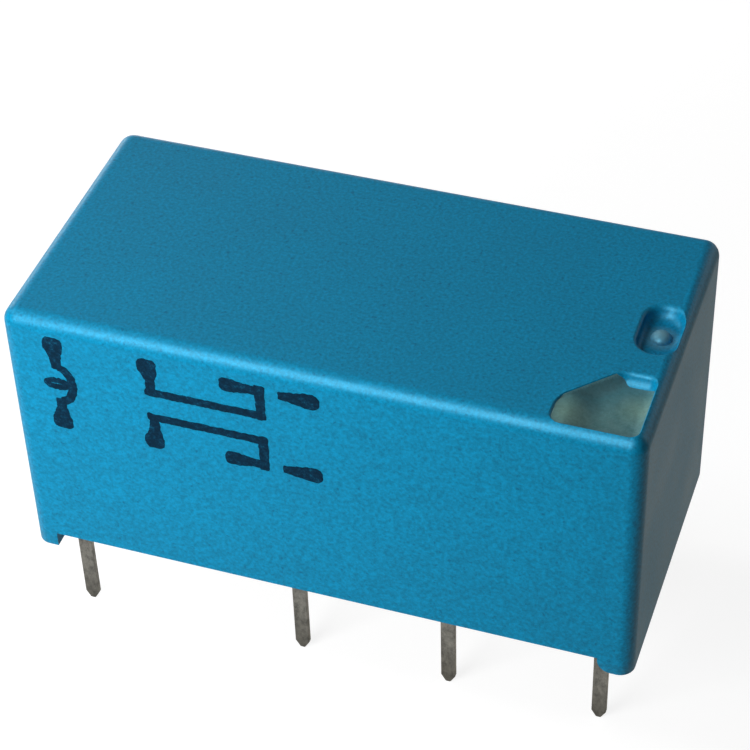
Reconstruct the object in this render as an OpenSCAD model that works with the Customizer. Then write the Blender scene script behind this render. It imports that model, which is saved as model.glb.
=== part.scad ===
// Sealed signal relay with two changeover contacts, for a circuit board with holes on a 2.54 mm grid.
// Millimetres. X runs along the cover towards its marked corner, -Y is the front, +Z is up.
// The origin is the middle of the pins' footprint, at the board's surface.

/* [Cover] */
// Length of the cover
cover_l = 20.2; // [20.1:0.1:22]
// Width of the cover
cover_w = 9.9; // [9.8:0.1:11]
// Height of the cover above the board
cover_h = 9.9; // [9.9:0.1:12]
// Thickness of the long walls
side_wall = 0.55; // [0.4:0.05:0.6]
// Thickness of the end walls
end_wall = 0.62; // [0.4:0.02:0.64]
// Thickness of the roof
roof = 0.7; // [0.55:0.05:0.8]
// Rounding of the upright edges and of the roof's edge
edge_r = 0.5; // [0.2:0.05:0.8]
// Height of the feet, which the long walls stop short of
foot_h = 0.56; // [0.3:0.02:0.7]
// Length of the feet at the coil end
foot_l_coil = 0.82; // [0.5:0.02:1.2]
// Length of the feet at the contact end
foot_l_contact = 1.12; // [0.8:0.02:1.4]
// Rounding of the inner corner of the feet at the contact end
foot_r = 0.45; // [0.1:0.05:0.6]

/* [Corner mark and vent] */
// Depth of the recess that marks the corner
mark_depth = 0.42; // [0.2:0.02:0.5]
// Distance of the recess from the end face
mark_from_end = 0.36; // [0.3:0.02:1]
// Distance of the recess from the front face
mark_from_front = 0.32; // [0.3:0.02:1]
// Length of the recess
mark_l = 2.6; // [2:0.1:4]
// Width of the recess
mark_w = 2.6; // [1.7:0.1:3.5]
// Length of its far side, where the slanting side begins
mark_far = 1.1; // [0.5:0.05:1.9]
// Width of its short side, where the slanting side ends
mark_near = 1.05; // [0.2:0.05:1.6]
// Thickness of the paint on its floor
paint_t = 0.06; // [0.03:0.01:0.15]
// Length of the vent's dimple along the cover
vent_l = 1.3; // [1.1:0.05:1.5]
// Width of the dimple across the cover
vent_w = 2.25; // [1.6:0.05:3]
// Rounding of the dimple's corners
vent_r = 0.6; // [0.3:0.05:0.64]
// Distance of the dimple's centre from the end face
vent_from_end = 0.8; // [0.78:0.02:2]
// Distance of the dimple's centre behind the cover's middle line
vent_off = 0.12; // [0:0.02:0.3]
// Depth of the dimple
vent_depth = 0.4; // [0.2:0.05:0.5]
// Radius of the sealed nib in the dimple
nib_r = 0.26; // [0.15:0.01:0.4]
// Height of the nib
nib_h = 0.2; // [0.1:0.02:0.38]

/* [Pins] */
// Distance of the outer pins from the end faces
pin_from_end = 1.21; // [1.2:0.01:1.3]
// Distance of the rows of pins from the long faces
pin_from_side = 1.14; // [1.1:0.01:1.3]
// Width of a pin
pin_w = 0.48; // [0.4:0.01:0.6]
// Thickness of the terminals' sheet
pin_t = 0.2; // [0.18:0.01:0.3]
// Reach of the pins below the board's surface
pin_drop = 3.47; // [2.5:0.01:4.5]
// Length of a pin's tapered tip
tip_l = 0.28; // [0.1:0.01:0.6]
// Width of the tip's blunt end
tip_w = 0.16; // [0.1:0.01:0.35]
// Width of a terminal where it stands in the base
blade_w = 0.6; // [0.6:0.02:0.76]

/* [Base] */
// Height of the sealing resin's underside above the board
resin_lift = 0.75; // [0.7:0.01:0.9]
// Thickness of the sealing resin
resin_t = 0.4; // [0.2:0.05:0.6]
// Thickness of the base plate
base_t = 0.85; // [0.6:0.05:1]
// Gap between the base plate and the cover's walls
base_gap = 0.1; // [0.05:0.01:0.15]
// Depth of the pins' shoulders in the base plate
shoulder_in = 0.5; // [0.2:0.05:0.55]
// Thickness of the plastic beside a terminal
pillar_wall = 0.28; // [0.15:0.01:0.3]
// Height of the coil terminals' pillars above the plate
coil_pillar_h = 1.4; // [0.8:0.1:1.6]
// Height of the common terminals' pillars above the plate
common_pillar_h = 1.5; // [0.8:0.1:1.7]
// Height of the break terminals' pillars above the plate
break_pillar_h = 0.9; // [0.5:0.1:1]
// Height of the make terminals' pillars above the plate
make_pillar_h = 2.6; // [1.5:0.1:2.8]
// Height of the ribs that locate the yoke
rib_h = 0.5; // [0.3:0.05:0.7]
// Thickness of those ribs
rib_t = 0.3; // [0.2:0.02:0.4]
// Gap between the post at the contact end and the roof
post_from_roof = 0.6; // [0.3:0.1:3]
// Gap between that post and the pillars beside it
post_gap = 0.5; // [0.4:0.05:1.5]
// Thickness of that post
post_t = 0.8; // [0.5:0.05:0.85]

/* [Coil] */
// Gap between the bobbin's flanges and the springs beside them
flange_side = 0.235; // [0.1:0.005:0.35]
// Gap between the bobbin's flanges and the roof
flange_from_roof = 0.4; // [0.3:0.05:0.9]
// Thickness of the bobbin's flanges
flange_t = 0.7; // [0.4:0.05:0.9]
// Gap between the bobbin's flanges and the yoke below them
flange_gap = 0.1; // [0.05:0.01:0.2]
// Share of the winding's radius that the bobbin's tube takes
tube_share = 0.58; // [0.5:0.01:0.62]
// Thickness of the bobbin's tube
tube_wall = 0.34; // [0.2:0.02:0.4]
// Reach of the flanges past the winding
flange_over = 0.2; // [0.1:0.05:0.6]
// Thickness of the tape round the winding
tape_t = 0.06; // [0.03:0.01:0.08]
// Bare winding at each end of the tape
tape_inset = 0.35; // [0.2:0.05:1]
// Radius of the coil's lead wires
lead_r = 0.05; // [0.03:0.01:0.07]
// Turns of a lead round its terminal
lead_turns = 4; // [2:1:6]
// Spacing of those turns, as a share of the wire's thickness
lead_step = 0.85; // [0.8:0.05:0.95]
// Distance of a lead from the flange's side
lead_clear = 0.3; // [0.1:0.05:0.5]
// Angle round the core at which a lead meets the winding, in degrees
lead_angle = 12; // [0:1:30]
// Height of the terminals' posts for the leads, above their pillars
lead_post_h = 0.9; // [0.7:0.1:1.2]
// Reach of the core past its riveted tail
tail_in = 0.25; // [0.2:0.05:0.4]
// Length of the rivet head on the tail
rivet_h = 0.1; // [0.05:0.01:0.12]
// Reach of the pole head past the core
pole_rim = 0.7; // [0.4:0.05:0.9]
// Thickness of the pole head
pole_t = 0.6; // [0.4:0.05:0.8]
// Distance of the pole face from the base plate's contact end
pole_from_end = 5.78; // [5.6:0.02:6.2]

/* [Yoke and armature] */
// Reach of the bobbin's flanges past the yoke's sides
flange_past_yoke = 0.35; // [0.3:0.05:0.7]
// Thickness of the yoke
yoke_t = 0.8; // [0.6:0.05:1]
// Gap between the yoke's upright leg and the roof
yoke_from_roof = 1.1; // [0.4:0.1:1.8]
// Gap between the yoke's upright leg and the base plate's end
yoke_inset = 0.16; // [0.13:0.01:0.25]
// Thickness of the armature
armature_t = 0.7; // [0.5:0.05:0.8]
// Reach of the armature's upright leg past the pole head
armature_over = 0.22; // [0:0.02:0.5]
// Reach of the armature's lying leg from its hinge line to its tongue
armature_out = 1.7; // [1.2:0.1:1.8]
// Width of the shoulders beside the armature's tongue
tongue_shoulder = 0.95; // [0.85:0.05:1.6]
// Length of the tongue, which the card grips
tongue_l = 1.3; // [0.8:0.1:1.5]
// Swing of the armature from open to closed, in degrees
swing = 6; // [4:0.25:7]
// Thickness of the residual shim
shim_t = 0.05; // [0.03:0.01:0.1]
// Distance of the residual shim's sides from the pole head's edge
shim_in = 0.1; // [-0.1:0.05:0.5]
// Gap that is left between the shim and the closed pole
closed_gap = 0.01; // [0.01:0.005:0.05]
// Gap between the armature's heel and the yoke
heel_gap = 0.02; // [0.01:0.005:0.05]
// Radius of the wire that holds the armature down
clip_r = 0.1; // [0.06:0.01:0.12]
// Radius of that wire's bends
clip_bend = 0.15; // [0.12:0.01:0.16]
// Gap between that wire and the armature
clip_gap = 0.05; // [0.05:0.01:0.09]
// Gap between that wire's legs and the armature's sides
clip_side_gap = 0.1; // [0.05:0.01:0.12]

/* [Card] */
// Distance of the card's sides from the armature's
card_inset = 0.25; // [0.15:0.05:0.6]
// Length of the card
card_l = 2.2; // [2:0.05:2.3]
// Plastic above and below the armature's tongue
card_wall = 0.2; // [0.15:0.01:0.25]
// Length of the card's arms along the relay
arm_l = 0.6; // [0.45:0.05:0.7]
// Height of the card's arms
arm_h = 0.7; // [0.4:0.05:0.8]
// Radius of the card's pushers
pusher_r = 0.18; // [0.1:0.01:0.2]
// Distance of the pushers from the base plate's contact end
pusher_from_end = 1.78; // [1.73:0.05:1.88]
// Gap between the pushers and the open springs
pusher_gap = 0.02; // [0.02:0.005:0.05]

/* [Springs and contacts] */
// Height of the springs' underside above the board
spring_z = 4.1; // [4.1:0.05:4.3]
// Thickness of the springs
spring_t = 0.1; // [0.06:0.01:0.12]
// Width of the springs
spring_w = 1; // [0.8:0.02:1.02]
// Width of the slot between a spring's two fingers
slot_w = 0.16; // [0.1:0.01:0.2]
// Length of a spring's fingers
finger_l = 6; // [4:0.1:7]
// Overlap of a spring's root on its terminal, past the pin's middle
root_l = 0.45; // [0.35:0.05:0.8]
// Reach of a spring past its pushers
spring_tip = 0.35; // [0.25:0.05:0.4]
// Gap between a spring's root and its terminal
root_gap = 0.02; // [0.01:0.005:0.03]
// Distance of the contacts from the base plate's contact end
contact_from_end = 3.03; // [2.88:0.05:3.38]
// Radius of the moving contacts
contact_r = 0.17; // [0.12:0.01:0.19]
// Height of a moving contact on each side of its spring
contact_h = 0.18; // [0.12:0.01:0.2]
// Radius of a moving contact's shank
shank_r = 0.1; // [0.06:0.01:0.11]
// Radius of the fixed contact bars
bar_r = 0.18; // [0.12:0.01:0.2]
// Gap between contacts that touch
touch_gap = 0.01; // [0.005:0.005:0.03]
// Length of the fixed contacts' flaps
flap_l = 0.9; // [0.7:0.05:1]
// Height of the strips that carry the flaps
strip_h = 0.6; // [0.5:0.05:0.62]

/* [Hidden] */
$fn = 48;

// clearance of round parts that are pressed together, and an overlap for clean cuts
fit = 0.01;
cut = 1;

// inside of the cover
room_l = cover_l - 2 * end_wall;
room_w = cover_w - 2 * side_wall;
room_r = 0.2;
room_top = cover_h - roof;

// eight places in each row; with the real cover they are 2.54 mm apart, and the rows 7.62 mm
places = 8;
pitch = (cover_l - 2 * pin_from_end) / (places - 1);
coil_x = place_x(1);
common_x = place_x(4);
break_x = place_x(6);
make_x = place_x(8);
row_y = cover_w / 2 - pin_from_side;
sheet_out = row_y + pin_t / 2;

// base
base_z = resin_lift + resin_t;
base_top = base_z + base_t;
base_l = room_l - 2 * base_gap;
base_w = room_w - 2 * base_gap;
shoulder_z = base_top - shoulder_in;
pillar_in = sheet_out - pin_t - pillar_wall;
post_w = 2 * (pillar_in - post_gap);
post_h = room_top - base_top - post_from_roof;

// magnet
yoke_x = -base_l / 2 + yoke_inset;
yoke_top = base_top + yoke_t;
yoke_h = room_top - base_top - yoke_from_roof;
flange_w = 2 * (sheet_out - spring_w - flange_side);
flange_h = room_top - flange_from_roof - yoke_top - flange_gap;
yoke_w = flange_w - 2 * flange_past_yoke;
core_z = yoke_top + flange_gap + flange_h / 2;
pole_x = base_l / 2 - pole_from_end;
coil_from = yoke_x + yoke_t;
coil_to = pole_x - pole_t;
winding_from = coil_from + flange_t;
winding_to = coil_to - flange_t;
winding_r = min(flange_w, flange_h) / 2 - flange_over;
tube_r = tube_share * winding_r;
core_r = tube_r - tube_wall - fit;
tail_r = core_r - tail_in;
pole_r = core_r + pole_rim;

// armature, as wide as the yoke that it stands on
armature_w = yoke_w;
hinge_x = pole_x + closed_gap + shim_t + armature_t / 2;
hinge_z = yoke_top + heel_gap + armature_t / 2;
armature_up = core_z + pole_r + armature_over - hinge_z;
shim_w = 2 * (pole_r - shim_in);
tongue_w = armature_w - 2 * tongue_shoulder;

// springs and contacts
contact_x = base_l / 2 - contact_from_end;
pusher_x = base_l / 2 - pusher_from_end;
spring_y = sheet_out - spring_w / 2;
spring_from = common_x - root_l;
spring_to = pusher_x + spring_tip;
finger_w = (spring_w - slot_w) / 2;
finger_ys = [for (s = [-1, 1]) spring_y + s * (finger_w + slot_w) / 2];
spring_swing = swing * (pusher_x - hinge_x) / (pusher_x - spring_from);
contact_travel = (contact_x + contact_r - spring_from) * sin(spring_swing);
common_top = spring_z - root_gap;
break_top = spring_z - contact_h - touch_gap - bar_r;
make_under = spring_z + spring_t + contact_h + contact_travel + touch_gap + bar_r;

// card, in the place that it has when the armature is closed
card_from = hinge_x + armature_out;
card_w = armature_w - 2 * card_inset;
pusher_at = closed_place(pusher_x, spring_z - pusher_gap - pusher_r);
card_low = hinge_z - armature_t / 2 - card_wall;
card_top = hinge_z + armature_t / 2 + card_wall;

// middle of a pin that stands in one of the row's places, counted from the coil end
function place_x(n) = (n - (places + 1) / 2) * pitch;

// where a point of the open armature is once it has closed
function closed_place(x, z) = [
    hinge_x + (x - hinge_x) * cos(swing) - (z - hinge_z) * sin(swing),
    hinge_z + (x - hinge_x) * sin(swing) + (z - hinge_z) * cos(swing)];

// children on the front (-1) or the rear (1); they are drawn for the rear
module on_side(side) {
    if (side < 0) mirror([0, 1, 0]) children();
    else children();
}

// a flat outline in X and Z, made a plate that is w wide with its middle at y
module upright(w, y = 0) {
    translate([0, y + w / 2, 0]) rotate([90, 0, 0]) linear_extrude(w) children();
}

// the armature's parts are drawn closed, and are stored open
module swung_open() {
    translate([hinge_x, 0, hinge_z]) rotate([0, swing, 0]) translate([-hinge_x, 0, -hinge_z]) children();
}

module rounded_plate(l, w, r) {
    square([l - 2 * r, w], center = true);
    square([l, w - 2 * r], center = true);
    for (x = [-1, 1], y = [-1, 1]) translate([x * (l / 2 - r), y * (w / 2 - r)]) circle(r);
}

// a wire through a list of points
module wire(points, r) {
    for (n = [1 : len(points) - 1]) hull() for (p = [points[n - 1], points[n]])
        translate(p) sphere(r, $fn = 12);
}

// Cover

module cover_block() {
    x = cover_l / 2 - edge_r;
    y = cover_w / 2 - edge_r;
    hull() for (sx = [-1, 1], sy = [-1, 1]) translate([sx * x, sy * y, 0]) {
        cylinder(r = edge_r, h = edge_r, $fn = 32);
        translate([0, 0, cover_h - edge_r]) sphere(edge_r, $fn = 32);
    }
}

// what is cut from under the long walls, so that feet are left at the ends
module under_wall() {
    from = -cover_l / 2 + foot_l_coil;
    to = cover_l / 2 - foot_l_contact;
    translate([from, -cut]) square([to - from, foot_h + cut]);
    difference() {
        translate([to - cut, -cut]) square([foot_r + cut, foot_r + cut]);
        translate([to + foot_r, foot_r]) circle(foot_r);
    }
}

module mark_outline() {
    x = cover_l / 2 - mark_from_end;
    y = -cover_w / 2 + mark_from_front;
    polygon([[x, y], [x, y + mark_w], [x - mark_far, y + mark_w],
        [x - mark_l, y + mark_near], [x - mark_l, y]]);
}

module vent_outline()
    translate([cover_l / 2 - vent_from_end, vent_off]) rounded_plate(vent_l, vent_w, vent_r);

module cover() color([0.08, 0.52, 0.69]) {
    difference() {
        cover_block();
        translate([0, 0, -cut]) linear_extrude(room_top + cut) rounded_plate(room_l, room_w, room_r);
        upright(cover_w + cut) under_wall();
        translate([0, 0, cover_h - mark_depth]) linear_extrude(mark_depth + cut) mark_outline();
        translate([0, 0, cover_h - vent_depth]) linear_extrude(vent_depth + cut) vent_outline();
    }
    translate([cover_l / 2 - vent_from_end, vent_off, cover_h - vent_depth]) {
        cylinder(r = nib_r, h = nib_h / 2);
        translate([0, 0, nib_h / 2]) cylinder(r1 = nib_r, r2 = nib_r / 2, h = nib_h / 2);
    }
}

module corner_mark() color([0.36, 0.44, 0.4])
    translate([0, 0, cover_h - mark_depth]) linear_extrude(paint_t) mark_outline();

// Terminals

// a pin from its tip up to a height
module pin_outline(x, top) {
    tip_z = -pin_drop;
    polygon([[x - tip_w / 2, tip_z], [x + tip_w / 2, tip_z], [x + pin_w / 2, tip_z + tip_l],
        [x + pin_w / 2, top], [x - pin_w / 2, top], [x - pin_w / 2, tip_z + tip_l]]);
}

module blade_outline(x, top) {
    pin_outline(x, top);
    translate([x - blade_w / 2, shoulder_z]) square([blade_w, top - shoulder_z]);
}

// a flap folded from the sheet's top or bottom edge, under or over the spring
module flap(from, l, under) {
    translate([from, sheet_out - spring_w, under]) cube([l, spring_w, pin_t]);
}

module coil_terminal(side) color("silver") on_side(side) upright(pin_t, row_y) {
    blade_outline(coil_x, base_top + coil_pillar_h);
    pin_outline(coil_x, base_top + coil_pillar_h + lead_post_h);
}

module common_terminal(side) color("silver") on_side(side) {
    upright(pin_t, row_y) blade_outline(common_x, common_top);
    flap(spring_from, 2 * root_l, common_top - pin_t);
}

module break_terminal(side) color("silver") on_side(side) {
    from = break_x - blade_w / 2;
    upright(pin_t, row_y) {
        blade_outline(break_x, break_top);
        translate([from, break_top - strip_h]) square([contact_x + flap_l / 2 - from, strip_h]);
    }
    flap(contact_x - flap_l / 2, flap_l, break_top - pin_t);
}

module make_terminal(side) color("silver") on_side(side) {
    from = contact_x - flap_l / 2;
    upright(pin_t, row_y) {
        blade_outline(make_x, make_under + strip_h);
        translate([from, make_under]) square([make_x + blade_w / 2 - from, strip_h]);
    }
    flap(from, flap_l, make_under);
}

// half a round bar across the spring, with its round side up
module contact_bar() {
    difference() {
        rotate([90, 0, 0]) cylinder(r = bar_r, h = spring_w, center = true);
        translate([-2 * bar_r, -spring_w, -2 * bar_r]) cube([4 * bar_r, 2 * spring_w, 2 * bar_r]);
    }
}

module break_contact(side) color("gold") on_side(side)
    translate([contact_x, spring_y, break_top]) contact_bar();

module make_contact(side) color("gold") on_side(side)
    translate([contact_x, spring_y, make_under]) rotate([180, 0, 0]) contact_bar();

// Springs

module moving_spring(side) color([0.8, 0.55, 0.3]) on_side(side)
    translate([0, 0, spring_z]) linear_extrude(spring_t) difference() {
        translate([spring_from, spring_y - spring_w / 2]) square([spring_to - spring_from, spring_w]);
        translate([spring_to - finger_l, spring_y - slot_w / 2]) square([finger_l + cut, slot_w]);
        translate([spring_to - finger_l, spring_y]) circle(slot_w);
        for (y = finger_ys) translate([contact_x, y]) circle(shank_r + fit);
    }

// one rivet through a finger, with a head on both sides
module contact_rivet() {
    translate([0, 0, -spring_t / 2]) cylinder(r = shank_r, h = spring_t);
    for (m = [0, 1]) mirror([0, 0, m]) translate([0, 0, spring_t / 2]) {
        cylinder(r = contact_r, h = contact_h / 2);
        translate([0, 0, contact_h / 2]) cylinder(r1 = contact_r, r2 = contact_r / 2, h = contact_h / 2);
    }
}

module moving_contacts(side) color("gold") on_side(side)
    for (y = finger_ys) translate([contact_x, y, spring_z + spring_t / 2]) contact_rivet();

// Base and resin

// plastic round a terminal's blade, from the plate's edge inwards
module pillar(x, h) {
    l = blade_w + 2 * pillar_wall;
    from = max(x - l / 2, -base_l / 2);
    to = min(x + l / 2, base_l / 2);
    translate([from, pillar_in, base_z]) cube([to - from, base_w / 2 - pillar_in, base_t + h]);
}

module base_block() color([0.12, 0.13, 0.14]) difference() {
    union() {
        translate([0, 0, base_z]) linear_extrude(base_t) rounded_plate(base_l, base_w, room_r);
        for (side = [-1, 1]) on_side(side) {
            pillar(coil_x, coil_pillar_h);
            pillar(common_x, common_pillar_h);
            pillar(break_x, break_pillar_h);
            pillar(make_x, make_pillar_h);
            translate([coil_from, yoke_w / 2, base_z]) cube([coil_to - coil_from, rib_t, base_t + rib_h]);
        }
        translate([base_l / 2 - post_t, -post_w / 2, base_z]) cube([post_t, post_w, base_t + post_h]);
    }
    for (side = [-1, 1]) {
        coil_terminal(side);
        common_terminal(side);
        break_terminal(side);
        make_terminal(side);
    }
    hinge_spring();
}

module sealing_resin() color([0.2, 0.19, 0.17]) difference() {
    translate([0, 0, resin_lift]) linear_extrude(resin_t) rounded_plate(room_l, room_w, room_r);
    for (side = [-1, 1], x = [coil_x, common_x, break_x, make_x])
        on_side(side) upright(pin_t, row_y) pin_outline(x, base_z + cut);
}

// Magnet

module yoke() color([0.62, 0.63, 0.64]) difference() {
    upright(yoke_w) {
        translate([yoke_x + yoke_t, base_top]) square([hinge_x - yoke_x - yoke_t, yoke_t]);
        translate([yoke_x, base_top + yoke_t]) square([yoke_t, yoke_h - yoke_t]);
        intersection() {
            translate([yoke_x, base_top]) square(yoke_t);
            translate([yoke_x + yoke_t, base_top + yoke_t]) circle(yoke_t);
        }
    }
    translate([yoke_x - cut, 0, core_z]) rotate([0, 90, 0])
        cylinder(r = tail_r + fit, h = yoke_t + 2 * cut);
}

module core() color([0.7, 0.7, 0.7]) translate([0, 0, core_z]) rotate([0, 90, 0]) {
    translate([0, 0, yoke_x]) cylinder(r = tail_r, h = yoke_t);
    translate([0, 0, yoke_x - rivet_h]) cylinder(r1 = tail_r, r2 = tail_r + rivet_h, h = rivet_h);
    translate([0, 0, coil_from]) cylinder(r = core_r, h = coil_to - coil_from);
    translate([0, 0, coil_to]) cylinder(r = pole_r, h = pole_t);
}

module bobbin() color([0.2, 0.22, 0.2]) difference() {
    union() {
        for (x = [coil_from, coil_to - flange_t])
            translate([x, 0, core_z]) rotate([0, 90, 0]) linear_extrude(flange_t)
                rounded_plate(flange_h, flange_w, tube_r);
        translate([coil_from, 0, core_z]) rotate([0, 90, 0]) cylinder(r = tube_r, h = coil_to - coil_from);
    }
    translate([coil_from - cut, 0, core_z]) rotate([0, 90, 0])
        cylinder(r = core_r + fit, h = coil_to - coil_from + 2 * cut);
}

module sleeve(from, to, inner, outer) {
    translate([from, 0, core_z]) rotate([0, 90, 0]) linear_extrude(to - from) difference() {
        circle(outer);
        circle(inner);
    }
}

module coil_winding() color([0.72, 0.36, 0.18])
    sleeve(winding_from, winding_to, tube_r + fit, winding_r);

module coil_tape() color([0.85, 0.75, 0.3])
    sleeve(winding_from + tape_inset, winding_to - tape_inset, winding_r + fit, winding_r + fit + tape_t);

// turns on the terminal's post, and the wire from there past the flange to the winding
module coil_lead(side) color([0.72, 0.36, 0.18]) on_side(side) {
    turn_r = norm([pin_w, pin_t]) / 2 + fit + lead_r;
    turn_z = base_top + coil_pillar_h + lead_r + fit;
    turn_step = 2 * lead_r * lead_step;
    out_r = winding_r + lead_r + fit;
    translate([coil_x, row_y, 0]) rotate_extrude() for (n = [0 : lead_turns - 1])
        translate([turn_r, turn_z + n * turn_step]) circle(lead_r, $fn = 8);
    wire([[coil_x + turn_r, row_y, turn_z + (lead_turns - 1) * turn_step],
        [winding_from + lead_r, flange_w / 2 + lead_clear, core_z - winding_r / 2],
        [winding_from + tape_inset / 2, out_r * cos(lead_angle), core_z - out_r * sin(lead_angle)]],
        lead_r);
}

// Armature and what rides on it

module armature() color([0.68, 0.69, 0.7]) swung_open() {
    upright(armature_w) translate([hinge_x, hinge_z]) {
        circle(armature_t / 2);
        translate([-armature_t / 2, 0]) square([armature_t, armature_up]);
        translate([0, -armature_t / 2]) square([armature_out, armature_t]);
    }
    translate([hinge_x + armature_out, -tongue_w / 2, hinge_z - armature_t / 2])
        cube([tongue_l, tongue_w, armature_t]);
}

module residual_shim() color([0.8, 0.6, 0.35]) swung_open()
    translate([pole_x + closed_gap, -shim_w / 2, core_z - shim_w / 2]) cube([shim_t, shim_w, shim_w]);

module actuator_card() color([0.9, 0.88, 0.8]) swung_open() {
    arm_from = pusher_at[0] - arm_l / 2;
    arm_w = 2 * sheet_out;
    difference() {
        union() {
            translate([card_from, -card_w / 2, card_low]) cube([card_l, card_w, card_top - card_low]);
            translate([arm_from, -arm_w / 2, card_top - arm_h]) cube([arm_l, arm_w, arm_h]);
            for (side = [-1, 1]) on_side(side) {
                translate([pusher_at[0] - pusher_r, sheet_out - spring_w, card_top - arm_h / 2])
                    cube([2 * pusher_r, spring_w, pusher_at[1] - card_top + arm_h / 2]);
                translate([pusher_at[0], sheet_out, pusher_at[1]]) rotate([90, 0, 0])
                    cylinder(r = pusher_r, h = spring_w);
            }
        }
        translate([card_from - cut, -tongue_w / 2, hinge_z - armature_t / 2])
            cube([tongue_l + cut, tongue_w, armature_t]);
    }
}

// wire staple in the base, across the armature's inner corner
module hinge_spring() color([0.75, 0.76, 0.78]) {
    x = hinge_x + armature_t / 2 + armature_t * sin(swing) + clip_gap + clip_r;
    z = hinge_z + armature_t / 2 + clip_gap + clip_r;
    y = armature_w / 2 + clip_side_gap + clip_r;
    foot_z = base_z + base_t / 2;
    translate([x, 0, z]) rotate([90, 0, 0])
        cylinder(r = clip_r, h = 2 * (y - clip_bend), center = true);
    for (side = [-1, 1]) on_side(side) translate([x, y, 0]) {
        translate([0, 0, foot_z]) cylinder(r = clip_r, h = z - clip_bend - foot_z);
        translate([0, -clip_bend, z - clip_bend]) rotate([90, 0, 90])
            rotate_extrude(angle = 90) translate([clip_bend, 0]) circle(clip_r);
    }
}

cover();
corner_mark();
sealing_resin();
base_block();
coil_terminal(-1);  // coil_terminal_front
coil_terminal(1);  // coil_terminal_rear
common_terminal(-1);  // common_terminal_front
common_terminal(1);  // common_terminal_rear
break_terminal(-1);  // break_terminal_front
break_terminal(1);  // break_terminal_rear
make_terminal(-1);  // make_terminal_front
make_terminal(1);  // make_terminal_rear
break_contact(-1);  // break_contact_front
break_contact(1);  // break_contact_rear
make_contact(-1);  // make_contact_front
make_contact(1);  // make_contact_rear
moving_spring(-1);  // moving_spring_front
moving_spring(1);  // moving_spring_rear
moving_contacts(-1);  // moving_contacts_front
moving_contacts(1);  // moving_contacts_rear
yoke();
core();
bobbin();
coil_winding();
coil_tape();
coil_lead(-1);  // coil_lead_front
coil_lead(1);  // coil_lead_rear
armature();
residual_shim();
actuator_card();
hinge_spring();
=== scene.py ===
# Sealed signal relay on a pale table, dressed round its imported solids
import bpy
import bmesh
import math
from mathutils import Matrix, Vector, noise


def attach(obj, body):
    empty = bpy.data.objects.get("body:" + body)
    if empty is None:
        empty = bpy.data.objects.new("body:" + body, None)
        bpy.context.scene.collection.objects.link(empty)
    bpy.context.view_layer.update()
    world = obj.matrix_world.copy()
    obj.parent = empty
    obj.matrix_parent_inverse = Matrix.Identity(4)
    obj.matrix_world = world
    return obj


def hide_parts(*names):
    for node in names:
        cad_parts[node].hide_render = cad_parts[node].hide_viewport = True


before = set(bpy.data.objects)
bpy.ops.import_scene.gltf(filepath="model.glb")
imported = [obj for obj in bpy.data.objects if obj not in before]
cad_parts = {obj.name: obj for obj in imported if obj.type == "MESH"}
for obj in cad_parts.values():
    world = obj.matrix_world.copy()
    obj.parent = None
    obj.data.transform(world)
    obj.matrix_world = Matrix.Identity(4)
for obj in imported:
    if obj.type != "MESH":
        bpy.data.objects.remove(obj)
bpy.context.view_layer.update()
scene = bpy.context.scene
mm = 0.001
tolerance = {"cut": 1e-5, "same": 1e-4}  # in mm: how near points are to count as on a plane, or as one

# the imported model's main sizes, in mm; a pin's place is that of its middle
relay = {"length": 20.2, "width": 9.9, "height": 9.9, "pinDrop": 3.47, "pinSize": (0.48, 0.2), "rowY": 3.81,
         "pinX": {"coil": -8.89, "common": -1.27, "break": 3.81, "make": 8.89}}


# materials

def linear(hexText):
    parts = [int(hexText[i:i + 2], 16) / 255 for i in (1, 3, 5)]
    return [c / 12.92 if c <= 0.04045 else ((c + 0.055) / 1.055) ** 2.4 for c in parts] + [1.0]


def linearStops(stops):
    return [(place, linear(hexText)) for place, hexText in stops]


def grey(level):
    return [level, level, level, 1.0]


def perSize(sizeMm):
    return 1 / (sizeMm * mm)  # a noise scale whose grains are this many mm wide


def addNode(tree, kind, settings=None, links=None, stops=None):
    made = tree.nodes.new("ShaderNode" + kind)
    for name, value in (settings or {}).items():
        if isinstance(name, str) and hasattr(made, name):
            setattr(made, name, value)
        else:
            made.inputs[name].default_value = value
    for name, socket in (links or {}).items():
        tree.links.new(socket, made.inputs[name])
    for n, (place, shade) in enumerate(stops or []):
        stop = made.color_ramp.elements[n] if n < 2 else made.color_ramp.elements.new(place)
        stop.position = place
        stop.color = shade
    return made


def startMaterial(name, shader):
    made = bpy.data.materials.new(name)
    made.use_nodes = True
    tree = made.node_tree
    tree.nodes.clear()
    skin = addNode(tree, "BsdfPrincipled", shader)
    addNode(tree, "OutputMaterial", links={"Surface": skin.outputs[0]})
    return made, tree, skin, addNode(tree, "TexCoord").outputs["Object"]


def byHeight(tree, place, levels, below, above):
    # a number that runs from below to above between two levels, in mm
    height = addNode(tree, "SeparateXYZ", links={"Vector": place})
    return addNode(tree, "MapRange", {
        "From Min": levels[0] * mm, "From Max": levels[1] * mm, "To Min": below, "To Max": above},
        {"Value": height.outputs["Z"]}).outputs["Result"]


def withSpot(tree, place, shade, spot):
    # a blot of another colour, full up to its first reach and gone at its second
    away = addNode(tree, "VectorMath", {"operation": "DISTANCE", 1: [c * mm for c in spot["at"]]}, {0: place})
    near = addNode(tree, "MapRange", {
        "From Min": spot["reach"][0] * mm, "From Max": spot["reach"][1] * mm, "To Min": spot["strength"],
        "To Max": 0}, {"Value": away.outputs["Value"]})
    return addNode(tree, "Mix", {"data_type": "RGBA", 7: linear(spot["colour"])}, {
        0: near.outputs["Result"], 6: shade}).outputs[2]


plastic = {"shadeAt": (0.3, 0.7), "cloudAt": (0.35, 0.65), "cloudDark": 0.72, "speckAt": (0.66, 0.74),
           "roughSpread": 0.06}


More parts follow.
